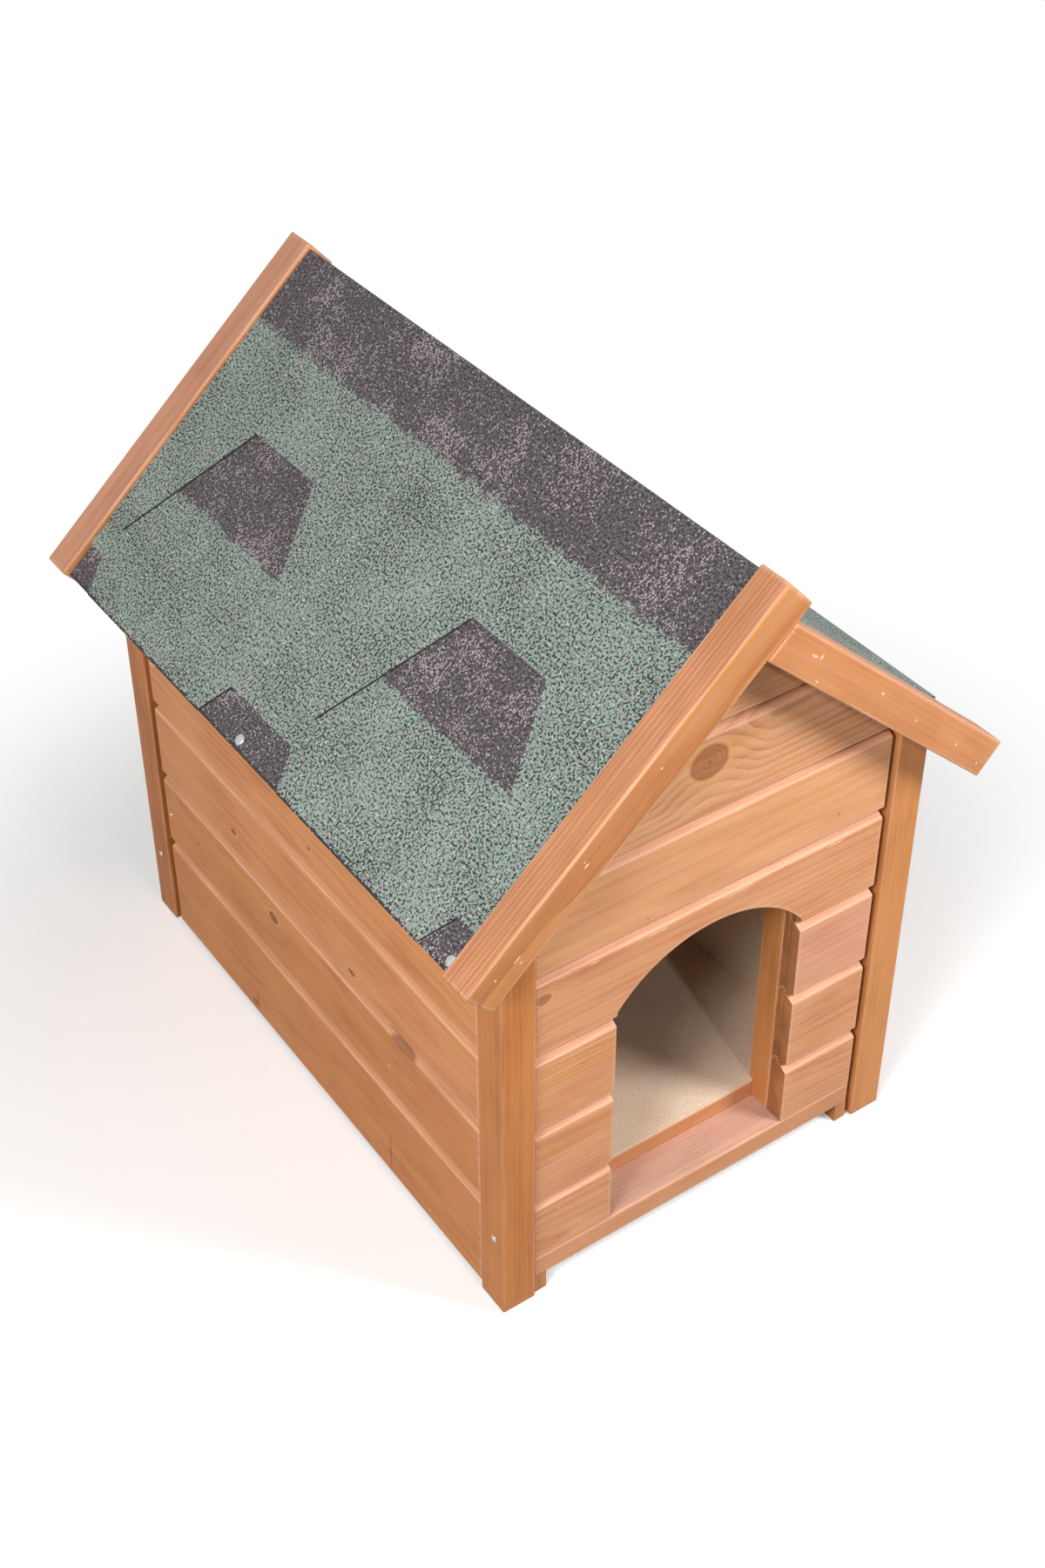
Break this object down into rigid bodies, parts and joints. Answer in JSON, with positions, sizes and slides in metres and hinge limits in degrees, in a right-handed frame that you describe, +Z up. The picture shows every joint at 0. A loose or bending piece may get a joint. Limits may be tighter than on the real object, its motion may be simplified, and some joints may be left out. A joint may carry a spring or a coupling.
{
  "type": "dog house",
  "caption": "Small wooden dog house on four corner posts, with tongued and grooved walls, an arched doorway, a steep gable roof and hexagonal shingles between barge boards.",
  "frame": {"origin": "on the ground under the middle of the house", "axes": "+X to the right of someone facing the doorway, +Y towards the back wall, +Z up"},
  "size_m": [0.5168, 0.679, 0.6654],
  "materials": {
    "boards": "orange-brown stained softwood, satin",
    "posts": "orange-brown stained softwood, satin",
    "barge_boards": "orange-brown stained softwood, satin",
    "rails": "planed softwood, thin stain",
    "framing": "sawn softwood",
    "sheet": "plain plywood",
    "bitumen_shingle": "green mineral granules"
  },
  "bodies": {
    "root": {"barge_front_left": "barge_boards", "barge_front_right": "barge_boards", "barge_rear_left": "barge_boards", "barge_rear_right": "barge_boards", "corner_battens": "framing", "floor_bearer_rear": "framing", "floor_sheet": "sheet", "foot_blocks": "framing", "front_board_1_left": "boards", "front_board_1_right": "boards", "front_board_2_left": "boards", "front_board_2_right": "boards", "front_board_3_left": "boards", "front_board_3_right": "boards", "front_board_arch": "boards", "front_gable_board_1": "boards", "front_gable_board_2": "boards", "front_gable_board_3": "boards", "front_rail": "rails", "gable_rafters": "framing", "jamb_batten_left": "framing", "jamb_batten_right": "framing", "left_board_1": "boards", "left_board_2": "boards", "left_board_3": "boards", "left_board_4": "boards", "left_board_5": "boards", "lining_left": "sheet", "lining_rear": "sheet", "lining_right": "sheet", "post_front_left": "posts", "post_front_right": "posts", "post_rear_left": "posts", "post_rear_right": "posts", "rear_board_1": "boards", "rear_board_2": "boards", "rear_board_3": "boards", "rear_board_4": "boards", "rear_board_5": "boards", "rear_board_6": "boards", "rear_board_7": "boards", "rear_rail": "rails", "right_board_1": "boards", "right_board_2": "boards", "right_board_3": "boards", "right_board_4": "boards", "right_board_5": "boards", "roof_deck_left": "framing", "roof_deck_right": "framing", "shingle_lower_left": "bitumen_shingle", "shingle_lower_right": "bitumen_shingle", "shingle_top_left": "bitumen_shingle", "shingle_top_right": "bitumen_shingle", "side_bottom_rail_left": "framing", "side_bottom_rail_right": "framing", "side_top_plate_left": "framing", "side_top_plate_right": "framing", "side_wall_studs": "framing", "starter_strips": "bitumen_shingle", "threshold": "framing"}
  },
  "joints": []
}
